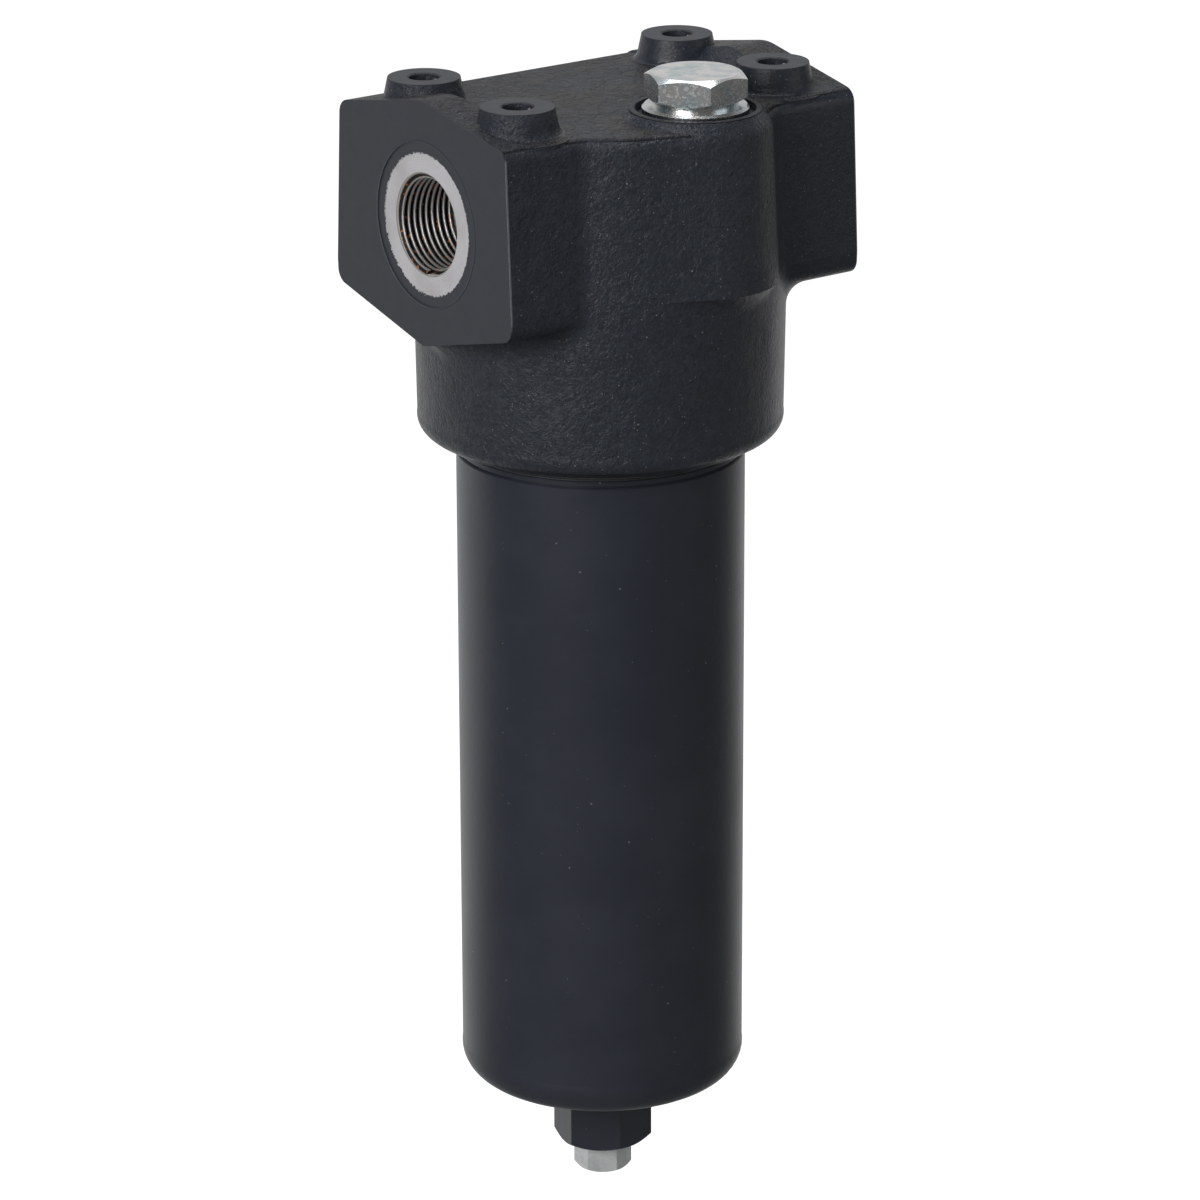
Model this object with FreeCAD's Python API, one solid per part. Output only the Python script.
import FreeCAD, Part
import math
import os

# In-line hydraulic pressure filter: a cast head with two ports on one axis, a screwed-on
# steel bowl with a pleated element inside, a blanked indicator port and a drain plug.
# Frame: the origin is the centre of the four machined mounting bosses on top of the head.
# X runs along the port axis with the inlet at -X, -Y is the side of the indicator port,
# and Z points up. All sizes are in millimetres.

V = FreeCAD.Vector
X_AXIS = V(1, 0, 0)
Z_AXIS = V(0, 0, 1)

# Mounting bosses on top of the head, tapped M10. Threaded walls are drawn at their
# outer diameter here and in the ports.
HOLE_SPACING_X = 104.0
HOLE_SPACING_Y = 52.0
MOUNT_TAP_D = 10.0
MOUNT_TAP_DEPTH = 17.0
MOUNT_MOUTH_D = 11.4
MOUNT_MOUTH_DEG = 120.0
BOSS_TOP_D = 24.0
BOSS_SIDE_DEG = 12.0
BOSS_FLARE_R = 4.0
BOSS_ROOT = 3.0

# Heights, counted from the port axis
PORT_DROP = 41.6
DECK_H = 32.2
CREST_H = 40.9
PARTING_DROP = 22.0
BLOCK_CORNER_DROP = 28.9
KEEL_DROP = 41.3
SKIRT_WALL_END = 73.8
SKIRT_FACE_DROP = 82.0

# Cast block that carries the ports
INLET_END_PROUD = 8.15
OUTLET_END_PROUD = 9.6
BLOCK_FRONT = 46.0
BLOCK_BACK = 50.0
DRAFT = 0.0495
BLOCK_EDGE_R = 5.0
CREST_EDGE_R = 22.0
KEEL_EDGE_R = 7.0
DECK_EDGE_R = 4.0
HUMP_FOOT_X = 47.0
HUMP_TOP_X = 57.0

# Round body and skirt
BODY_D = 124.2
SKIRT_DRAFT = 0.0158
SKIRT_ROUND_IN = 3.3
SKIRT_ROUND_UP = 6.5
SKIRT_BEVEL_D = 110.0
BACK_SHOULDER_H = 8.0
BACK_SHOULDER_RISE = 14.0
KEEL_BLEND_R = 8.0
KEEL_BLEND_INNER_X = 37.0
NOSE_SPREAD = math.radians(62.0)
FLANK_INSET = 0.2

# Ports, G1 thread
PORT_THREAD_D = 33.3
PORT_MOUTH_D = 34.2
PORT_THREAD_DEPTH = 22.0
PORT_FACE_D = 47.0
PORT_FACE_DEPTH = 0.4
PORT_RING_D = 54.5
PORT_RING_DEPTH = 0.3
GALLERY_D = 28.0
INLET_DOWN_D = 21.0
INLET_DOWN_X = 31.0

# Indicator port and its column
IND_COLUMN_D = 55.0
IND_PROUD = 7.0557
IND_TURN_DEG = 11.6336
IND_RIM_RISE = 3.1
IND_RIM_D = 43.6
IND_RIM_ROUND = 5.0
IND_RIM_EDGE_R = 1.5
IND_BORE_D = 39.6
IND_BORE_DEPTH = 2.6
IND_THREAD_D = 20.96
IND_THREAD_DEPTH = 22.0
IND_SEAL_RECESS_DEPTH = 2.2
IND_SEAL_D = 26.0
IND_BLEND_R = 6.0
SENSE_D = 4.0

# Cavity in the head
THREAD_D = 95.0
THREAD_TOP_DROP = 60.0
SEAL_BORE_D = 90.5
CHAMBER_TOP_DROP = 31.0
SPIGOT_D = 36.0
SPIGOT_BORE_D = 26.0
SPIGOT_END_DROP = 52.0
SPIGOT_NOSE = 2.0
MOUTH_LEAD = 1.5

# Bowl
BOWL_D = 97.0
BOWL_BORE_D = 80.0
BOWL_TOP_DROP = 47.0
BOWL_BAND_DROP = 85.0
BOWL_BAND_D = 96.4
BOWL_GROOVE_DROP = 86.9
BOWL_GROOVE_W = 0.7
BOWL_GROOVE_DEEP = 1.0
BOWL_EDGE = 0.5
BOWL_BOTTOM_DROP = 312.8
BOWL_ROUND_IN = 7.2
BOWL_ROUND_UP = 11.8
BOWL_FLOOR = 12.0
BOWL_INNER_R = 9.0
BOWL_HEX_AF = 29.8
BOWL_HEX_END_DROP = 340.0
BOWL_HEX_TURN = 13.9
HEX_CHAMFER_DEG = 30.0
HEX_FACE_SHARE = 0.475

# Bowl seal: an O-ring with a back-up ring above it
RING_H = 3.9
RING_GROOVE_DEPTH = 2.9
BACKUP_T = 1.4
RING_GROOVE_DROP = 51.0
RING_GROOVE_SLACK = 0.4

# Plugs
IND_HEX_AF = 30.0
IND_HEX_H = 9.2
IND_HEX_TURN = 8.6
IND_NECK_D = 28.0
IND_NECK_H = 1.6
IND_COLLAR_D = 35.0
IND_COLLAR_T = 3.7
IND_SHANK_L = 16.0
DRAIN_HEX_AF = 17.3
DRAIN_HEX_H = 10.8
DRAIN_HEX_TURN = 22.5
DRAIN_THREAD_D = 13.16
DRAIN_SHANK_L = 12.0
DRAIN_HOLE_D = 8.0
DRAIN_SEAL_D = 16.4
DRAIN_SEAL_T = 1.9
DRAIN_BORE_DEPTH = 15.0
PLUG_LEAD = 0.8
SEAL_CUT = 0.28

# Filter element
ELEMENT_GAP = 5.0
ELEMENT_TOP_DROP = 40.0
ELEMENT_L = 252.0
CAP_T = 1.6
CAP_RIM_H = 9.0
CAP_RIM_T = 1.2
COLLAR_L = 10.0
COLLAR_WALL = 5.0
PLEAT_COUNT = 44
PLEAT_T = 0.8
CORE_D = 40.0
CORE_WALL = 1.2
CORE_SLOT_W = 5.0
CORE_SLOT_L = 20.0
CORE_SLOTS_ROUND = 8
CORE_ROWS = 7
NET_T = 0.8
NET_RIB = 3.0
NET_COLUMNS = 8
NET_ROWS = 7
ELEMENT_RING_H = 3.2
ELEMENT_RING_DEPTH = 2.4

# Bypass valve, upright between the chamber and the outlet gallery
VALVE_X = 31.0
VALVE_D = 18.0
VALVE_TOP_DROP = 12.0
VALVE_FLANGE_D = 24.0
VALVE_FLANGE_T = 3.0
VALVE_BORE_D = 14.0
VALVE_SEAT_D = 9.0
VALVE_SEAT_T = 5.0
POPPET_D = 11.4
POPPET_T = 2.5
POPPET_STEM_D = 4.0
STEM_OVER = 1.2
SPRING_WIRE = 1.1
SPRING_D = 9.0
SPRING_L = 10.5
SPRING_TURNS = 4.0
SPRING_SIDES = 6
SPRING_SEAT_T = 1.5
SPRING_SEAT_HOLES = 4
SPRING_SEAT_HOLE_D = 3.0
CIRCLIP_T = 1.0
CIRCLIP_DEPTH = 0.7
CIRCLIP_W = 1.6
CIRCLIP_GAP_DEG = 50.0
VALVE_RING_W = 1.6
VALVE_RING_H = 1.3

# Clearances between pieces
SCREW_GAP = 0.08
BOWL_THREAD_CLEAR = 1.0
SLIDE_GAP = 0.05
SEAL_GAP = 0.05
LOOSE_GAP = 0.3
EASE = 0.02
EDGE_SLACK = 0.3

# Levels in the part's own frame, worked out from the heights above
PORT_Z = -PORT_DROP
DECK_Z = PORT_Z + DECK_H
PARTING_Z = PORT_Z - PARTING_DROP
SKIRT_Z = PORT_Z - SKIRT_FACE_DROP
BLOCK_MID_Y = (BLOCK_BACK - BLOCK_FRONT) / 2

# Places and sizes that follow from their neighbours
INLET_END_X = BODY_D / 2 + INLET_END_PROUD
OUTLET_END_X = BODY_D / 2 + OUTLET_END_PROUD
IND_REACH = BODY_D / 2 + IND_PROUD - IND_COLUMN_D / 2
IND_X = IND_REACH * math.sin(math.radians(IND_TURN_DEG))
IND_Y = IND_REACH * math.cos(math.radians(IND_TURN_DEG))
IND_RIM_H = DECK_H + IND_RIM_RISE
ELEMENT_D = BOWL_BORE_D - 2 * ELEMENT_GAP


def cylinder(radius, low, high, x=0.0, y=0.0):
    """An upright round bar between two levels."""
    return Part.makeCylinder(radius, high - low, V(x, y, low))


def cylinder_x(radius, start, end, y=0.0, z=PORT_Z):
    """A round bar along X between two X positions."""
    return Part.makeCylinder(radius, end - start, V(start, y, z), X_AXIS)


def rod_between(a, b, radius):
    """A round bar from one point to another."""
    return Part.makeCylinder(radius, (b - a).Length, a, b - a)


def arc(a, middle, b):
    """A circular edge through three points."""
    return Part.Arc(a, middle, b).toShape()


def rounded_face(points, radii):
    """A flat face from corner points, each corner rounded by its own radius."""
    edges = []
    joins = []
    count = len(points)
    for i, corner in enumerate(points):
        before = (points[i - 1] - corner).normalize()
        after = (points[(i + 1) % count] - corner).normalize()
        if radii[i] <= 0:
            joins.append((corner, None, corner))
            continue
        half = before.getAngle(after) / 2
        reach = radii[i] / math.tan(half)
        centre = corner + (before + after).normalize() * (radii[i] / math.sin(half))
        middle = centre + (corner - centre).normalize() * radii[i]
        joins.append((corner + before * reach, middle, corner + after * reach))
    for i, (enter, middle, leave) in enumerate(joins):
        if middle is not None:
            edges.append(arc(enter, middle, leave))
        edges.append(Part.LineSegment(leave, joins[(i + 1) % count][0]).toShape())
    return Part.Face(Part.Wire(edges))


def turned(points, radii=None, x=0.0, y=0.0):
    """A solid turned about an upright axis from (radius, level) corners."""
    corners = [V(x + r, y, z) for r, z in points]
    face = rounded_face(corners, radii or [0.0] * len(points))
    return face.revolve(V(x, y, 0), Z_AXIS, 360)


def turned_x(points, radii=None):
    """A solid turned about the port axis from (X, radius) corners."""
    corners = [V(px, 0, PORT_Z + r) for px, r in points]
    face = rounded_face(corners, radii or [0.0] * len(points))
    return face.revolve(V(0, 0, PORT_Z), X_AXIS, 360)


def hexagon(across_flats, low, high, turn, x=0.0, y=0.0):
    """A six-sided prism between two levels with one corner at the given angle."""
    corner_r = across_flats / math.sqrt(3)
    points = []
    for k in range(6):
        angle = math.radians(turn + 60 * k)
        points.append(V(x + corner_r * math.cos(angle), y + corner_r * math.sin(angle), low))
    wire = Part.makePolygon(points + points[:1])
    return Part.Face(wire).extrude(V(0, 0, high - low))


def chamfered_hexagon(across_flats, low, high, turn, x=0.0, y=0.0, top=True, bottom=True):
    """A hexagon with its corners turned off at the ends that are free."""
    corner_r = across_flats / math.sqrt(3)
    face_r = across_flats * HEX_FACE_SHARE
    fall = (corner_r - face_r) * math.tan(math.radians(HEX_CHAMFER_DEG))
    wide = corner_r + 1
    extra = fall + math.tan(math.radians(HEX_CHAMFER_DEG))
    points = [(0, low)]
    points += [(face_r, low), (wide, low + extra)] if bottom else [(wide, low)]
    points += [(wide, high - extra), (face_r, high)] if top else [(wide, high)]
    points += [(0, high)]
    envelope = turned(points, None, x, y)
    return hexagon(across_flats, low, high, turn, x, y).common(envelope)


def front_wall(height):
    """Y of the block's front wall at a height over the port axis."""
    return -(BLOCK_FRONT - DRAFT * height)


def back_wall(height):
    """Y of the block's back wall at a height over the port axis."""
    return BLOCK_BACK - DRAFT * height


def block_face(x, corners, radii):
    """A section of the cast block from (Y, height over the port axis) corners."""
    return rounded_face([V(x, y, PORT_Z + h) for y, h in corners], radii)


def port_block(end_x):
    """A raised port end on the +X side, with a roof that falls away to both sides."""
    corners = [
        (front_wall(-PARTING_DROP), -PARTING_DROP),
        (front_wall(DECK_H), DECK_H),
        (BLOCK_MID_Y, CREST_H),
        (back_wall(DECK_H), DECK_H),
        (back_wall(-PARTING_DROP), -PARTING_DROP),
    ]
    radii = [0, BLOCK_EDGE_R, CREST_EDGE_R, BLOCK_EDGE_R, 0]
    face = block_face(HUMP_FOOT_X, corners, radii)
    block = face.extrude(V(end_x - HUMP_FOOT_X, 0, 0))
    foot = V(HUMP_FOOT_X, -BODY_D, DECK_Z)
    crest = V(HUMP_TOP_X, -BODY_D, PORT_Z + CREST_H)
    over = crest + (crest - foot)
    wedge_wire = Part.makePolygon([foot, over, V(HUMP_FOOT_X, -BODY_D, over.z), foot])
    wedge = Part.Face(wedge_wire).extrude(V(0, 2 * BODY_D, 0))
    return block.cut(wedge)


def keel():
    """The lower half of the block, which narrows to a blunt keel under the ports."""
    low = -BLOCK_CORNER_DROP
    reverse = DRAFT * (BLOCK_CORNER_DROP - PARTING_DROP)
    corners = [
        (front_wall(-PARTING_DROP), -PARTING_DROP),
        (front_wall(-PARTING_DROP) + reverse, low),
        (BLOCK_MID_Y, -KEEL_DROP),
        (back_wall(-PARTING_DROP) - reverse, low),
        (back_wall(-PARTING_DROP), -PARTING_DROP),
    ]
    radii = [0, BLOCK_EDGE_R, KEEL_EDGE_R, BLOCK_EDGE_R, 0]
    face = block_face(-INLET_END_X, corners, radii)
    return face.extrude(V(INLET_END_X + OUTLET_END_X, 0, 0))


def body_radius(height):
    """Radius of the drafted round body above the parting line."""
    return BODY_D / 2 - DRAFT * (height + PARTING_DROP)


def column_radius(height):
    """Radius of the indicator port's drafted column above the parting line."""
    return IND_COLUMN_D / 2 - DRAFT * (height + PARTING_DROP)


def column():
    """The indicator port's column with its coned foot and its raised, rounded rim."""
    foot_r = column_radius(-PARTING_DROP)
    neck_h = IND_RIM_H - IND_RIM_ROUND
    points = [
        (0, PARTING_Z - foot_r),
        (foot_r, PARTING_Z),
        (column_radius(neck_h), PORT_Z + neck_h),
        (IND_RIM_D / 2, PORT_Z + IND_RIM_H),
        (0, PORT_Z + IND_RIM_H),
    ]
    return turned(points, [0, 0, IND_RIM_ROUND, IND_RIM_EDGE_R, 0], IND_X, -IND_Y)


def around(radius, angle, height):
    """A point on a circle round the head's axis, its angle in radians."""
    return V(radius * math.cos(angle), radius * math.sin(angle), PORT_Z + height)


def nose_outline(height):
    """Plan of the nose: round body, flank that runs up to the column, round body again."""
    body_r = body_radius(height)
    column_r = column_radius(height) - FLANK_INSET
    reach = math.hypot(IND_X, IND_Y)
    towards = math.atan2(-IND_Y, IND_X)
    side = towards - math.acos((body_r - column_r) / reach)
    start = around(body_r, towards - NOSE_SPREAD, height)
    leave = around(body_r, side, height)
    middle = V(IND_X, -IND_Y, PORT_Z + height)
    touch = middle + column_r * V(math.cos(side), math.sin(side), 0)
    back = around(body_r, towards, height)
    end = around(body_r, towards + NOSE_SPREAD, height)
    return Part.Wire([
        arc(start, around(body_r, (towards - NOSE_SPREAD + side) / 2, height), leave),
        Part.LineSegment(leave, touch).toShape(),
        Part.LineSegment(touch, middle).toShape(),
        Part.LineSegment(middle, back).toShape(),
        arc(back, around(body_r, towards + NOSE_SPREAD / 2, height), end),
        Part.LineSegment(end, start).toShape(),
    ])


def middle_block():
    """The block between the raised ends with the nose in front of it."""
    corners = [
        (front_wall(-PARTING_DROP), -PARTING_DROP),
        (front_wall(DECK_H), DECK_H),
        (back_wall(DECK_H), DECK_H),
        (back_wall(-PARTING_DROP), -PARTING_DROP),
    ]
    middle = block_face(-HUMP_FOOT_X, corners, [0] * 4).extrude(V(2 * HUMP_FOOT_X, 0, 0))
    nose = Part.makeLoft([nose_outline(-PARTING_DROP), nose_outline(DECK_H)], True, True)
    return [middle, nose]


def skirt():
    """The round skirt under the parting line and the shoulder behind the block."""
    wall_r = BODY_D / 2 - SKIRT_DRAFT * (SKIRT_WALL_END - PARTING_DROP)
    round_z = PORT_Z - SKIRT_WALL_END
    foot_z = round_z - SKIRT_ROUND_UP
    lean = math.sqrt(0.5)
    round_middle = V(wall_r - SKIRT_ROUND_IN * (1 - lean), 0, round_z - SKIRT_ROUND_UP * lean)
    foot = V(wall_r - SKIRT_ROUND_IN, 0, foot_z)
    outline = [
        V(0, 0, PARTING_Z),
        V(BODY_D / 2, 0, PARTING_Z),
        V(wall_r, 0, round_z),
        foot,
        V(SKIRT_BEVEL_D / 2, 0, SKIRT_Z),
        V(0, 0, SKIRT_Z),
    ]
    edges = [Part.LineSegment(outline[i], outline[i + 1]).toShape() for i in (0, 1, 3, 4)]
    edges.insert(2, arc(outline[2], round_middle, foot))
    edges.append(Part.LineSegment(outline[5], outline[0]).toShape())
    lower = Part.Face(Part.Wire(edges)).revolve(V(0, 0, 0), Z_AXIS, 360)
    shoulder_top = BACK_SHOULDER_H + BACK_SHOULDER_RISE
    shoulder = turned([
        (0, PARTING_Z),
        (BODY_D / 2, PARTING_Z),
        (body_radius(BACK_SHOULDER_H), PORT_Z + BACK_SHOULDER_H),
        (body_radius(BACK_SHOULDER_H) - BACK_SHOULDER_RISE, PORT_Z + shoulder_top),
        (0, PORT_Z + shoulder_top),
    ])
    back = Part.makeBox(BODY_D, BODY_D, BODY_D, V(-BODY_D / 2, 0, PARTING_Z))
    return [lower, shoulder.common(back)]


def height_span(edge):
    """Lowest and highest height of an edge over the port axis."""
    box = edge.BoundBox
    return box.ZMin - PORT_Z, box.ZMax - PORT_Z


def keel_edges(solid):
    """The inner corners where the keel's slopes run into the round skirt."""
    found = []
    for edge in solid.Edges:
        low, high = height_span(edge)
        box = edge.BoundBox
        inner = min(abs(box.XMin), abs(box.XMax)) > KEEL_BLEND_INNER_X
        round_side = max(abs(box.XMin), abs(box.XMax)) < BODY_D / 2 + EDGE_SLACK
        below = high < -PARTING_DROP + EDGE_SLACK and low > -KEEL_DROP - EDGE_SLACK
        if inner and round_side and below and high - low > EDGE_SLACK / 3:
            if edge.Curve.TypeId != "Part::GeomLine":
                found.append(edge)
    return found


def deck_edges(solid):
    """The outer corners of the deck along the front and the back."""
    found = []
    for edge in solid.Edges:
        low, high = height_span(edge)
        box = edge.BoundBox
        level = abs(low - DECK_H) < EDGE_SLACK and high - low < EDGE_SLACK
        outside = box.YMax < front_wall(DECK_H) + EDGE_SLACK
        centre = V(IND_X, -IND_Y, DECK_Z)
        ends = [vertex.Point.sub(centre).Length for vertex in edge.Vertexes]
        hidden = max(ends) < column_radius(DECK_H)
        if level and not hidden and (outside or box.YMin > back_wall(DECK_H) - EDGE_SLACK):
            found.append(edge)
    return found


def column_edges(solid):
    """The inner corner where the column's coned foot meets the skirt."""
    found = []
    reach = IND_COLUMN_D / 2 + EDGE_SLACK
    for edge in solid.Edges:
        _, high = height_span(edge)
        box = edge.BoundBox
        near = max(abs(box.XMin - IND_X), abs(box.XMax - IND_X)) < reach
        front = box.YMax < -IND_Y and high < DECK_H - DECK_EDGE_R
        ledge = edge.CenterOfMass.z > PARTING_Z - EDGE_SLACK
        if near and front and not ledge and edge.Curve.TypeId != "Part::GeomLine":
            found.append(edge)
    return found


def boss_places():
    """Centres of the four mounting bosses."""
    for sign_x in (-1, 1):
        for sign_y in (-1, 1):
            yield sign_x * HOLE_SPACING_X / 2, sign_y * HOLE_SPACING_Y / 2


def mounting_boss(x, y):
    """A boss that ends in the mounting plane and flares out into the deck."""
    side = BOSS_TOP_D / 2 - DECK_Z * math.tan(math.radians(BOSS_SIDE_DEG))
    foot = side + BOSS_FLARE_R
    root = DECK_Z - BOSS_ROOT
    points = [
        (0, 0),
        (BOSS_TOP_D / 2, 0),
        (side, DECK_Z),
        (foot, DECK_Z),
        (foot, root),
        (0, root),
    ]
    return turned(points, [0, 0, BOSS_FLARE_R, 0, 0, 0], x, y)


def cast_body():
    """The head's outer form, before any hole is cut."""
    solid = middle_block()[0].fuse(middle_block()[1:] + [keel()] + skirt())
    solid = solid.removeSplitter().Solids[0]
    solid = solid.makeFillet(KEEL_BLEND_R, keel_edges(solid))
    solid = solid.makeFillet(DECK_EDGE_R, deck_edges(solid))
    inlet_end = port_block(INLET_END_X).mirror(V(0, 0, 0), X_AXIS)
    ends = [inlet_end, port_block(OUTLET_END_X), column()]
    solid = solid.fuse(ends).removeSplitter().Solids[0]
    solid = solid.makeFillet(IND_BLEND_R, column_edges(solid))
    bosses = [mounting_boss(x, y) for x, y in boss_places()]
    return solid.fuse(bosses).removeSplitter().Solids[0]


def port_cut(end_x):
    """A port's thread bore, mouth, spot face and cast ring at -X, as one cutter."""
    face = -end_x
    floor = face + PORT_FACE_DEPTH
    mouth = (PORT_MOUTH_D - PORT_THREAD_D) / 2
    thread_end = face + PORT_THREAD_DEPTH
    step = (PORT_THREAD_D - GALLERY_D) / 2
    return turned_x([
        (face - 1, 0),
        (face - 1, PORT_RING_D / 2),
        (face + PORT_RING_DEPTH, PORT_RING_D / 2),
        (face + PORT_RING_DEPTH, PORT_FACE_D / 2),
        (floor, PORT_FACE_D / 2),
        (floor, PORT_MOUTH_D / 2),
        (floor + mouth, PORT_THREAD_D / 2),
        (thread_end, PORT_THREAD_D / 2),
        (thread_end + step, GALLERY_D / 2),
        (-INLET_DOWN_X, GALLERY_D / 2),
        (-INLET_DOWN_X, 0),
    ])


def flow_cuts():
    """Ports, galleries, the spigot's bore and the valve's bore."""
    inlet = port_cut(INLET_END_X)
    outlet = port_cut(OUTLET_END_X).mirror(V(0, 0, 0), X_AXIS)
    chamber_top = PORT_Z - CHAMBER_TOP_DROP
    down = cylinder(INLET_DOWN_D / 2, chamber_top, PORT_Z, -INLET_DOWN_X)
    across = cylinder_x(GALLERY_D / 2, 0, OUTLET_END_X - PORT_THREAD_DEPTH)
    riser = cylinder(SPIGOT_BORE_D / 2, PORT_Z - SPIGOT_END_DROP, PORT_Z)
    dome = Part.makeSphere(SPIGOT_BORE_D / 2, V(0, 0, PORT_Z))
    valve = cylinder(VALVE_D / 2, chamber_top, PORT_Z, VALVE_X)
    return [inlet, outlet, down, across, riser, dome, valve]


def cavity_cut():
    """The bowl's thread, the seal bore and the ring chamber round the spigot."""
    chamber_top = PORT_Z - CHAMBER_TOP_DROP
    spigot_end = PORT_Z - SPIGOT_END_DROP
    thread_top = PORT_Z - THREAD_TOP_DROP
    lead = (THREAD_D - SEAL_BORE_D) / 2
    return turned([
        (0, SKIRT_Z - 1),
        (THREAD_D / 2 + 1 + MOUTH_LEAD, SKIRT_Z - 1),
        (THREAD_D / 2, SKIRT_Z + MOUTH_LEAD),
        (THREAD_D / 2, thread_top),
        (SEAL_BORE_D / 2, thread_top + lead),
        (SEAL_BORE_D / 2, chamber_top),
        (SPIGOT_D / 2, chamber_top),
        (SPIGOT_D / 2, spigot_end + SPIGOT_NOSE),
        (SPIGOT_D / 2 - SPIGOT_NOSE, spigot_end),
        (0, spigot_end),
    ])


def indicator_cut():
    """The blanked indicator port: spot face, seal recess and thread bore."""
    rim = PORT_Z + IND_RIM_H
    floor = rim - IND_BORE_DEPTH
    recess = floor - IND_SEAL_RECESS_DEPTH
    return turned([
        (0, rim + 1),
        (IND_BORE_D / 2, rim + 1),
        (IND_BORE_D / 2, floor),
        (IND_SEAL_D / 2, floor),
        (IND_SEAL_D / 2, recess),
        (IND_THREAD_D / 2, recess),
        (IND_THREAD_D / 2, floor - IND_THREAD_DEPTH),
        (0, floor - IND_THREAD_DEPTH),
    ], None, IND_X, -IND_Y)


def sense_cuts():
    """The two drillings that carry inlet and outlet pressure to the indicator port."""
    start = PORT_Z + IND_RIM_H - IND_BORE_DEPTH - IND_THREAD_DEPTH
    offset = IND_THREAD_D / 4
    holes = []
    for sign, reach in ((-1, INLET_DOWN_X + GALLERY_D / 2), (1, GALLERY_D)):
        a = V(IND_X + sign * offset, -IND_Y, start + 1)
        b = V(sign * reach, -GALLERY_D / 4, PORT_Z)
        holes.append(rod_between(a, b, SENSE_D / 2))
    return holes


def tapped_cut(x, y):
    """A blind mounting hole with its countersunk mouth and drill point."""
    slope = math.tan(math.radians(MOUNT_MOUTH_DEG / 2))
    mouth = (MOUNT_MOUTH_D - MOUNT_TAP_D) / 2 / slope
    return turned([
        (0, 1),
        (MOUNT_MOUTH_D / 2 + slope, 1),
        (MOUNT_TAP_D / 2, -mouth),
        (MOUNT_TAP_D / 2, -MOUNT_TAP_DEPTH),
        (0, -MOUNT_TAP_DEPTH - MOUNT_TAP_D / 4),
    ], None, x, y)


def filter_head():
    """The cast head with every hole cut."""
    cuts = flow_cuts() + [cavity_cut(), indicator_cut()] + sense_cuts()
    cuts += [tapped_cut(x, y) for x, y in boss_places()]
    head = cast_body()
    for cutter in cuts:
        head = head.cut(cutter)
    return head.removeSplitter()


def bowl_outline():
    """Half section of the bowl's body without its hexagon, as one closed wire."""
    top = PORT_Z - BOWL_TOP_DROP
    band = PORT_Z - BOWL_BAND_DROP
    groove = PORT_Z - BOWL_GROOVE_DROP
    groove_end = groove - BOWL_GROOVE_W
    bottom = PORT_Z - BOWL_BOTTOM_DROP
    wall_end = bottom + BOWL_ROUND_UP
    floor = bottom + BOWL_FLOOR
    thread_r = THREAD_D / 2 - SCREW_GAP
    land_r = SEAL_BORE_D / 2 - SLIDE_GAP
    thread_top = PORT_Z - THREAD_TOP_DROP - BOWL_THREAD_CLEAR
    ring_top = PORT_Z - RING_GROOVE_DROP
    ring_foot = ring_top - BACKUP_T - RING_H - RING_GROOVE_SLACK
    wall_r = BOWL_D / 2
    inner_r = BOWL_BORE_D / 2
    lean = math.sqrt(0.5)
    rise = BOWL_INNER_R
    outer = [
        (inner_r, top), (land_r - BOWL_EDGE, top), (land_r, top - BOWL_EDGE),
        (land_r, ring_top), (land_r - RING_GROOVE_DEPTH, ring_top),
        (land_r - RING_GROOVE_DEPTH, ring_foot), (land_r, ring_foot),
        (land_r, thread_top), (thread_r, thread_top), (thread_r, band),
        (BOWL_BAND_D / 2 - BOWL_EDGE, band), (BOWL_BAND_D / 2, band - BOWL_EDGE),
        (BOWL_BAND_D / 2, groove), (wall_r - BOWL_GROOVE_DEEP, groove),
        (wall_r - BOWL_GROOVE_DEEP, groove_end), (wall_r - BOWL_EDGE, groove_end),
        (wall_r, groove_end - BOWL_EDGE), (wall_r, wall_end),
    ]
    corners = [V(r, 0, z) for r, z in outer]
    edges = [Part.LineSegment(a, b).toShape() for a, b in zip(corners, corners[1:])]
    bend = V(wall_r - BOWL_ROUND_IN * (1 - lean), 0, wall_end - BOWL_ROUND_UP * lean)
    foot = V(wall_r - BOWL_ROUND_IN, 0, bottom)
    edges.append(arc(corners[-1], bend, foot))
    inner_bend = V(inner_r - rise * (1 - lean), 0, floor + rise * (1 - lean))
    inner_foot = V(inner_r - rise, 0, floor)
    edges.append(Part.LineSegment(foot, V(0, 0, bottom)).toShape())
    edges.append(Part.LineSegment(V(0, 0, bottom), V(0, 0, floor)).toShape())
    edges.append(Part.LineSegment(V(0, 0, floor), inner_foot).toShape())
    edges.append(arc(inner_foot, inner_bend, V(inner_r, 0, floor + rise)))
    edges.append(Part.LineSegment(V(inner_r, 0, floor + rise), corners[0]).toShape())
    return Part.Wire(edges)


def bowl():
    """The steel bowl: threaded neck, plain wall, rounded floor and drain hexagon."""
    shell = Part.Face(bowl_outline()).revolve(V(0, 0, 0), Z_AXIS, 360)
    bottom = PORT_Z - BOWL_BOTTOM_DROP
    hex_end = PORT_Z - BOWL_HEX_END_DROP
    nut = chamfered_hexagon(BOWL_HEX_AF, hex_end, bottom + BOWL_FLOOR / 2, BOWL_HEX_TURN,
                            top=False)
    bore_top = hex_end + DRAIN_BORE_DEPTH
    drain = turned([
        (0, hex_end - 1),
        (DRAIN_SEAL_D / 2, hex_end - 1),
        (DRAIN_SEAL_D / 2, hex_end + DRAIN_SEAL_T),
        (DRAIN_THREAD_D / 2, hex_end + DRAIN_SEAL_T),
        (DRAIN_THREAD_D / 2, bore_top),
        (DRAIN_HOLE_D / 2, bore_top),
        (DRAIN_HOLE_D / 2, bottom + BOWL_FLOOR + 1),
        (0, bottom + BOWL_FLOOR + 1),
    ])
    return shell.fuse(nut).removeSplitter().cut(drain)


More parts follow.
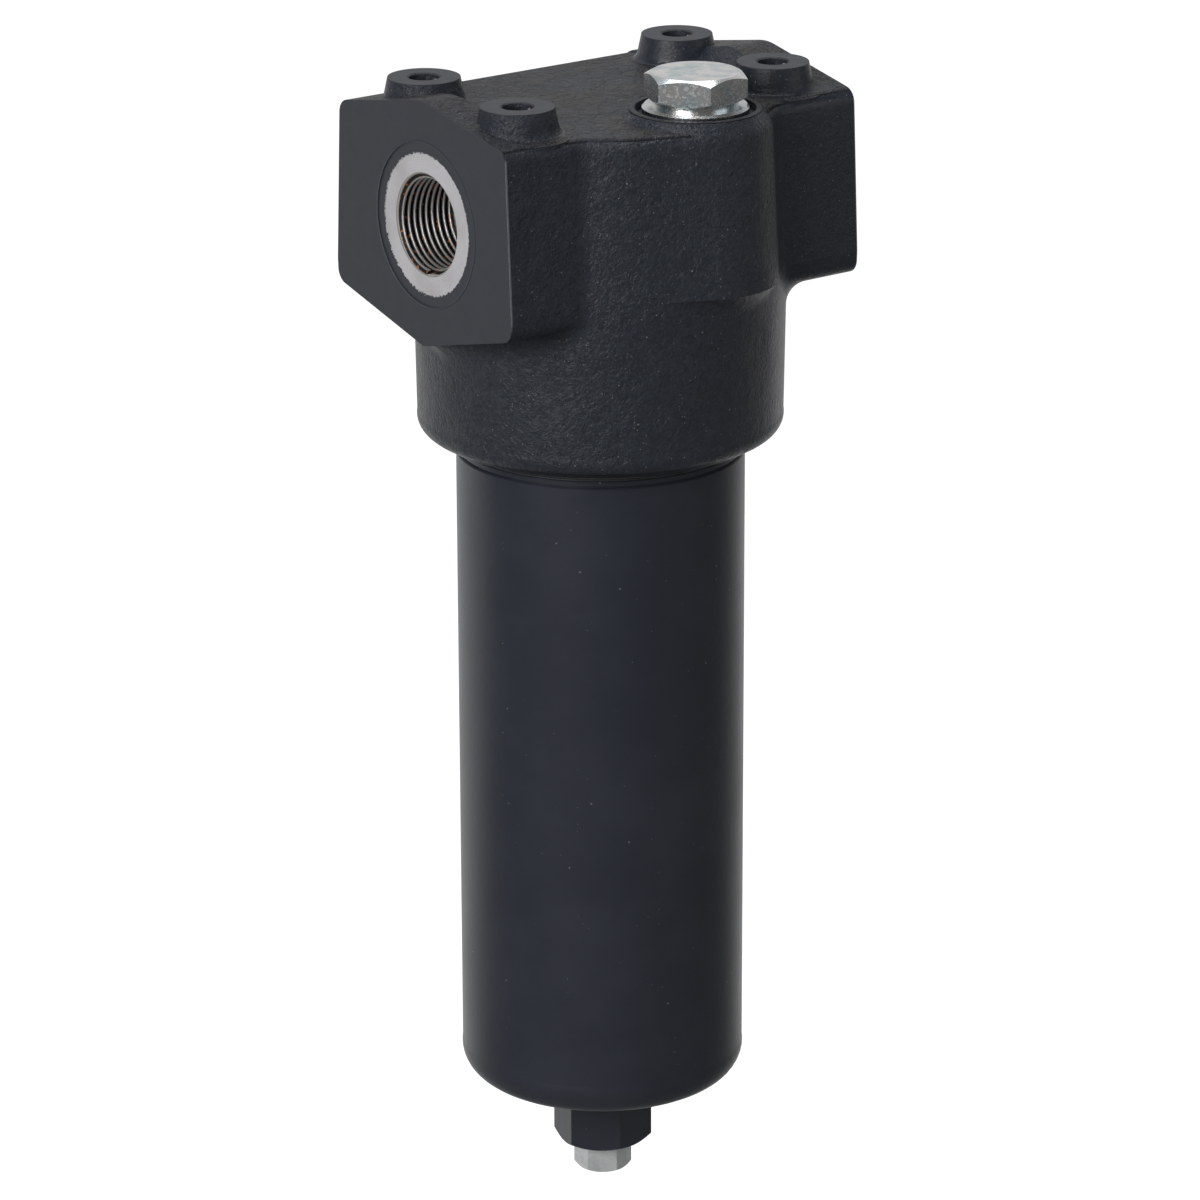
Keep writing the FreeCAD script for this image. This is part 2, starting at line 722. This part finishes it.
def seal_ring(inner_r, outer_r, low, high, x=0.0, y=0.0):
    """A squeezed seal: a ring whose four edges are broken."""
    cut = SEAL_CUT * min(outer_r - inner_r, high - low)
    return turned([
        (inner_r, low + cut),
        (inner_r + cut, low),
        (outer_r - cut, low),
        (outer_r, low + cut),
        (outer_r, high - cut),
        (outer_r - cut, high),
        (inner_r + cut, high),
        (inner_r, high - cut),
    ], None, x, y)


def bowl_rings():
    """The bowl's O-ring and the back-up ring that lies over it."""
    inner = SEAL_BORE_D / 2 - SLIDE_GAP - RING_GROOVE_DEPTH + EASE
    outer = SEAL_BORE_D / 2 - SEAL_GAP
    top = PORT_Z - RING_GROOVE_DROP - EASE
    parted = top - BACKUP_T
    backup = turned([(inner, parted), (outer, parted), (outer, top), (inner, top)])
    return seal_ring(inner, outer, parted - RING_H, parted), backup


def indicator_plug():
    """The zinc-plated blanking plug of the indicator port."""
    floor = PORT_Z + IND_RIM_H - IND_BORE_DEPTH
    collar_top = floor + IND_COLLAR_T
    neck_top = collar_top + IND_NECK_H
    shank_r = IND_THREAD_D / 2 - SCREW_GAP
    shank_end = floor - IND_SHANK_L
    turned_part = turned([
        (0, shank_end),
        (shank_r - PLUG_LEAD, shank_end),
        (shank_r, shank_end + PLUG_LEAD),
        (shank_r, floor),
        (IND_COLLAR_D / 2, floor),
        (IND_COLLAR_D / 2, collar_top - PLUG_LEAD),
        (IND_COLLAR_D / 2 - PLUG_LEAD, collar_top),
        (IND_NECK_D / 2, collar_top),
        (IND_NECK_D / 2, neck_top),
        (0, neck_top),
    ], None, IND_X, -IND_Y)
    head = chamfered_hexagon(IND_HEX_AF, neck_top, neck_top + IND_HEX_H, IND_HEX_TURN,
                             IND_X, -IND_Y)
    return turned_part.fuse(head).removeSplitter()


def indicator_seal():
    """The seal under the indicator plug's collar."""
    floor = PORT_Z + IND_RIM_H - IND_BORE_DEPTH - EASE
    low = floor - IND_SEAL_RECESS_DEPTH + 2 * EASE
    return seal_ring(IND_THREAD_D / 2, IND_SEAL_D / 2 - SEAL_GAP, low, floor, IND_X, -IND_Y)


def drain_plug():
    """The drain plug in the bowl's hexagon."""
    seat = PORT_Z - BOWL_HEX_END_DROP
    shank_r = DRAIN_THREAD_D / 2 - SCREW_GAP
    top = seat + DRAIN_SHANK_L
    shank = turned([
        (0, seat),
        (shank_r, seat),
        (shank_r, top - PLUG_LEAD),
        (shank_r - PLUG_LEAD, top),
        (0, top),
    ])
    head = chamfered_hexagon(DRAIN_HEX_AF, seat - DRAIN_HEX_H, seat, DRAIN_HEX_TURN, top=False)
    return head.fuse(shank).removeSplitter()


def drain_seal():
    """The seal round the drain plug's shank."""
    seat = PORT_Z - BOWL_HEX_END_DROP + EASE
    high = seat + DRAIN_SEAL_T - 2 * EASE
    return seal_ring(DRAIN_THREAD_D / 2, DRAIN_SEAL_D / 2 - SEAL_GAP, seat, high)


def cap_plate_z():
    """Underside of the element's top cap, where the core and the pleats begin."""
    return PORT_Z - ELEMENT_TOP_DROP - COLLAR_L - CAP_T


def element_foot_z():
    """Underside of the whole element."""
    return PORT_Z - ELEMENT_TOP_DROP - ELEMENT_L


def cap_rim_r():
    """Inner radius of both caps' rims."""
    return ELEMENT_D / 2 - CAP_RIM_T


def element_top_cap():
    """The pressed top cap with its collar and the groove for the element's ring."""
    under = cap_plate_z()
    plate_top = under + CAP_T
    bore_r = SPIGOT_D / 2 + SLIDE_GAP
    collar_top = plate_top + COLLAR_L
    collar_r = bore_r + COLLAR_WALL
    middle = plate_top + COLLAR_L / 2
    groove_r = bore_r + ELEMENT_RING_DEPTH
    groove_half = ELEMENT_RING_H / 2 + EASE
    return turned([
        (bore_r, under),
        (cap_rim_r(), under),
        (cap_rim_r(), under - CAP_RIM_H),
        (ELEMENT_D / 2, under - CAP_RIM_H),
        (ELEMENT_D / 2, plate_top),
        (collar_r, plate_top),
        (collar_r, collar_top),
        (bore_r + SPIGOT_NOSE / 2, collar_top),
        (bore_r, collar_top - SPIGOT_NOSE / 2),
        (bore_r, middle + groove_half),
        (groove_r, middle + groove_half),
        (groove_r, middle - groove_half),
        (bore_r, middle - groove_half),
    ])


def element_ring():
    """The ring that seals the element on the spigot."""
    middle = cap_plate_z() + CAP_T + COLLAR_L / 2
    inner = SPIGOT_D / 2 + EASE
    outer = SPIGOT_D / 2 + SLIDE_GAP + ELEMENT_RING_DEPTH - EASE
    half = ELEMENT_RING_H / 2
    return seal_ring(inner, outer, middle - half, middle + half)


def element_bottom_cap():
    """The closed bottom cap."""
    foot = element_foot_z()
    return turned([
        (0, foot),
        (ELEMENT_D / 2, foot),
        (ELEMENT_D / 2, foot + CAP_T + CAP_RIM_H),
        (cap_rim_r(), foot + CAP_T + CAP_RIM_H),
        (cap_rim_r(), foot + CAP_T),
        (0, foot + CAP_T),
    ], [0, 1, 0, 0, 0, 0])


def element_core():
    """The slotted core tube that carries the pleats from inside."""
    low = element_foot_z() + CAP_T
    high = cap_plate_z()
    tube = cylinder(CORE_D / 2, low, high).cut(cylinder(CORE_D / 2 - CORE_WALL, low, high))
    pitch = (high - low) / CORE_ROWS
    slots = []
    for row in range(CORE_ROWS):
        start = low + (row + 0.5) * pitch - CORE_SLOT_L / 2
        for k in range(CORE_SLOTS_ROUND // 2):
            slot = Part.makeBox(2 * CORE_D, CORE_SLOT_W, CORE_SLOT_L,
                                V(-CORE_D, -CORE_SLOT_W / 2, start))
            slot.rotate(V(0, 0, 0), Z_AXIS, 360 / CORE_SLOTS_ROUND * k)
            slots.append(slot)
    return tube.cut(slots)


def pleat_wire(outer_r, inner_r):
    """A closed zigzag of folds between two radii."""
    points = []
    for k in range(2 * PLEAT_COUNT):
        angle = math.pi * k / PLEAT_COUNT
        radius = inner_r if k % 2 else outer_r
        points.append(V(radius * math.cos(angle), radius * math.sin(angle), 0))
    return Part.makePolygon(points + points[:1])


def element_pleats():
    """The folded filter medium, one endless zigzag wall."""
    outer_r = cap_rim_r() - NET_T - 2 * LOOSE_GAP
    inner_r = CORE_D / 2 + LOOSE_GAP
    side_step = math.pi / PLEAT_COUNT * (outer_r + inner_r) / 2
    fold = PLEAT_T / math.sin(math.atan2(side_step, outer_r - inner_r))
    outside = Part.Face(pleat_wire(outer_r, inner_r + fold))
    inside = Part.Face(pleat_wire(outer_r - fold, inner_r))
    low = element_foot_z() + CAP_T
    high = cap_plate_z()
    wall = outside.cut(inside)
    wall.translate(V(0, 0, low))
    return wall.extrude(V(0, 0, high - low))


def element_net():
    """The outer support sleeve with its windows."""
    low = element_foot_z() + CAP_T
    high = cap_plate_z()
    outer_r = cap_rim_r() - LOOSE_GAP
    tube = cylinder(outer_r, low, high).cut(cylinder(outer_r - NET_T, low, high))
    start = low + CAP_RIM_H + NET_RIB
    room = high - CAP_RIM_H - NET_RIB - start
    row_h = room / NET_ROWS
    width = 2 * math.pi * outer_r / NET_COLUMNS - 2 * NET_RIB
    windows = []
    for row in range(NET_ROWS):
        for k in range(NET_COLUMNS // 2):
            box = Part.makeBox(2 * ELEMENT_D, width, row_h - NET_RIB,
                               V(-ELEMENT_D, -width / 2, start + row * row_h + NET_RIB / 2))
            box.rotate(V(0, 0, 0), Z_AXIS, 360 / NET_COLUMNS * k)
            windows.append(box)
    return tube.cut(windows)


def valve_levels():
    """Levels of the bypass valve: seat face, spring foot, spring top, seat plate top."""
    under = PORT_Z - CHAMBER_TOP_DROP - VALVE_FLANGE_T
    seat = under + VALVE_SEAT_T
    spring_foot = seat + POPPET_T
    spring_top = spring_foot + SPRING_L
    return under, seat, spring_foot, spring_top, spring_top + SPRING_SEAT_T


def bypass_valve_body():
    """The screwed-in valve body with its seat, its guide bore and the circlip's groove."""
    under, seat, _, _, plate_top = valve_levels()
    face = under + VALVE_FLANGE_T
    body_r = VALVE_D / 2 - SCREW_GAP
    bore_r = VALVE_BORE_D / 2
    groove_r = bore_r + CIRCLIP_DEPTH + EASE
    groove_top = plate_top + CIRCLIP_T + EASE
    end = PORT_Z - VALVE_TOP_DROP
    ring_r = VALVE_D / 2 + VALVE_RING_W
    return turned([
        (VALVE_SEAT_D / 2, under),
        (VALVE_FLANGE_D / 2, under),
        (VALVE_FLANGE_D / 2, face),
        (ring_r, face),
        (ring_r, face - VALVE_RING_H),
        (body_r, face - VALVE_RING_H),
        (body_r, end),
        (bore_r, end),
        (bore_r, groove_top),
        (groove_r, groove_top),
        (groove_r, plate_top),
        (bore_r, plate_top),
        (bore_r, seat),
        (VALVE_SEAT_D / 2, seat),
    ], None, VALVE_X)


def bypass_valve_seal():
    """The ring in the valve flange."""
    face = PORT_Z - CHAMBER_TOP_DROP - EASE
    low = face - VALVE_RING_H + 2 * EASE
    return seal_ring(VALVE_D / 2 - SCREW_GAP + EASE, VALVE_D / 2 + VALVE_RING_W - EASE,
                     low, face, VALVE_X)


def bypass_poppet():
    """The poppet: a disc on the seat with a stem through the spring plate."""
    _, seat, spring_foot, _, plate_top = valve_levels()
    stem_r = POPPET_STEM_D / 2
    return turned([
        (0, seat),
        (POPPET_D / 2, seat),
        (POPPET_D / 2, spring_foot),
        (stem_r, spring_foot),
        (stem_r, plate_top + STEM_OVER - stem_r / 2),
        (stem_r / 2, plate_top + STEM_OVER),
        (0, plate_top + STEM_OVER),
    ], None, VALVE_X)


def bypass_spring():
    """The spring that holds the poppet shut."""
    _, _, spring_foot, spring_top, _ = valve_levels()
    low = spring_foot + SPRING_WIRE / 2 + EASE
    high = spring_top - SPRING_WIRE / 2 - EASE
    pitch = (high - low) / SPRING_TURNS
    path = Part.makeHelix(pitch, high - low, SPRING_D / 2)
    path.translate(V(VALVE_X, 0, low))
    start = V(VALVE_X + SPRING_D / 2, 0, low)
    corners = []
    for k in range(SPRING_SIDES + 1):
        angle = 2 * math.pi * k / SPRING_SIDES
        reach = V(math.cos(angle), 0, math.sin(angle)) * (SPRING_WIRE / 2)
        corners.append(start + reach)
    section = Part.makePolygon(corners)
    return Part.Wire(path).makePipeShell([section], True, True)


def bypass_spring_plate():
    """The pierced plate that the spring pushes against."""
    _, _, _, low, high = valve_levels()
    plate = cylinder(VALVE_BORE_D / 2 - SLIDE_GAP, low, high, VALVE_X)
    cuts = [cylinder(POPPET_STEM_D / 2 + SLIDE_GAP, low, high, VALVE_X)]
    ring_r = (VALVE_BORE_D + POPPET_STEM_D) / 4
    for k in range(SPRING_SEAT_HOLES):
        angle = 2 * math.pi * k / SPRING_SEAT_HOLES
        cuts.append(cylinder(SPRING_SEAT_HOLE_D / 2, low, high,
                             VALVE_X + ring_r * math.cos(angle), ring_r * math.sin(angle)))
    return plate.cut(cuts)


def bypass_circlip():
    """The open ring that keeps the spring plate in."""
    low = valve_levels()[-1]
    outer = VALVE_BORE_D / 2 + CIRCLIP_DEPTH
    inner = VALVE_BORE_D / 2 - CIRCLIP_W
    face = rounded_face([V(VALVE_X + r, 0, z) for r, z in (
        (inner, low + EASE / 2), (outer, low + EASE / 2),
        (outer, low + CIRCLIP_T), (inner, low + CIRCLIP_T))], [0] * 4)
    face.rotate(V(VALVE_X, 0, 0), Z_AXIS, CIRCLIP_GAP_DEG / 2)
    return face.revolve(V(VALVE_X, 0, 0), Z_AXIS, 360 - CIRCLIP_GAP_DEG)


def build():
    """Make every piece of the filter, by node name."""
    bowl_o_ring, bowl_backup_ring = bowl_rings()
    return {
        "filter_head": filter_head(),
        "bowl": bowl(),
        "bowl_o_ring": bowl_o_ring,
        "bowl_backup_ring": bowl_backup_ring,
        "indicator_plug": indicator_plug(),
        "indicator_plug_seal": indicator_seal(),
        "drain_plug": drain_plug(),
        "drain_plug_seal": drain_seal(),
        "element_top_cap": element_top_cap(),
        "element_o_ring": element_ring(),
        "element_bottom_cap": element_bottom_cap(),
        "element_core": element_core(),
        "element_pleats": element_pleats(),
        "element_outer_net": element_net(),
        "bypass_valve_body": bypass_valve_body(),
        "bypass_valve_seal": bypass_valve_seal(),
        "bypass_poppet": bypass_poppet(),
        "bypass_spring": bypass_spring(),
        "bypass_spring_plate": bypass_spring_plate(),
        "bypass_circlip": bypass_circlip(),
    }


def main():
    """Write one STEP file per piece."""
    os.makedirs("parts", exist_ok=True)
    for name, shape in build().items():
        shape.exportStep("parts/" + name + ".step")
        print(name, len(shape.Solids), shape.isValid(), round(shape.Volume / 1000, 2), "cm3")


main()
